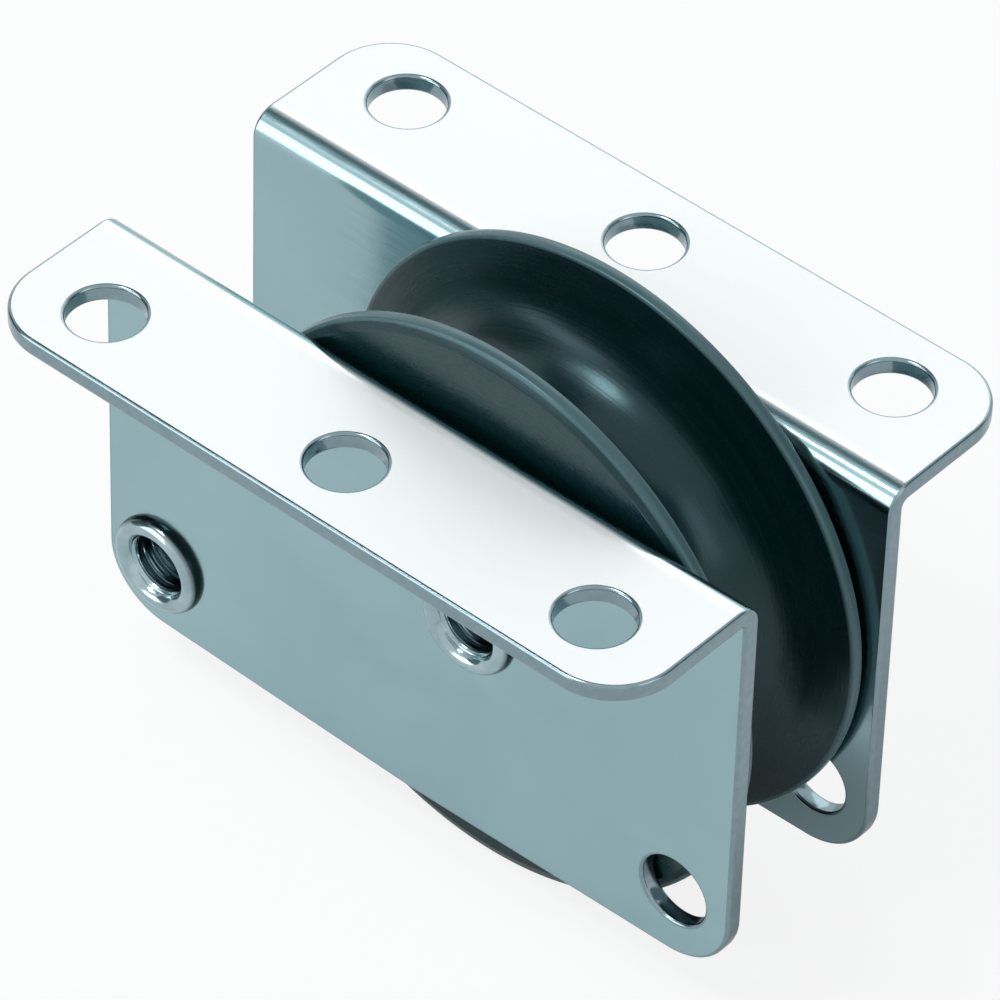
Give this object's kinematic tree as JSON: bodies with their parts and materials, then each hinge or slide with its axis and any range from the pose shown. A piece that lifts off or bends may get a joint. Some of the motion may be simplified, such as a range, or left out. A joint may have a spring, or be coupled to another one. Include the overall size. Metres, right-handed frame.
{
  "type": "sheave exit box",
  "caption": "Exit box for a rope: two bent, polished stainless cheek plates with drilled flanges, riveted round a deep-grooved black sheave.",
  "frame": {"origin": "centre of the flange hole pattern, on the plane of the undersides of the two flanges, where the box bears on a deck or a mast", "axes": "+Z out of the deck, along the fasteners; +X along the plates, towards the open corner holes; +Y across the sheave, along its axle"},
  "size_m": [0.0658, 0.0472, 0.052],
  "materials": {
    "cheek_plates": "polished stainless steel, nearly a mirror, with faint scratches",
    "sheave": "black acetal turned on a lathe, with fine rings and a satin sheen",
    "bush": "oiled sintered bronze",
    "tubes": "drawn stainless tube, satin",
    "rivets": "stainless tube with rolled, burnished ends",
    "washers": "natural acetal, smooth"
  },
  "bodies": {
    "frame": {"left_cheek_plate": "cheek_plates", "right_cheek_plate": "cheek_plates", "axle_sleeve": "tubes", "axle_rivet": "rivets", "left_thrust_washer": "washers", "right_thrust_washer": "washers", "corner_spacer": "tubes", "corner_rivet": "rivets"},
    "sheave": {"sheave": "sheave", "sheave_bush": "bush"}
  },
  "joints": [
    {"name": "sheave_spin", "type": "hinge", "parent": "frame", "child": "sheave", "pos_m": [0.0058, 0, -0.0172], "axis": [0, 1, 0], "continuous": true}
  ]
}
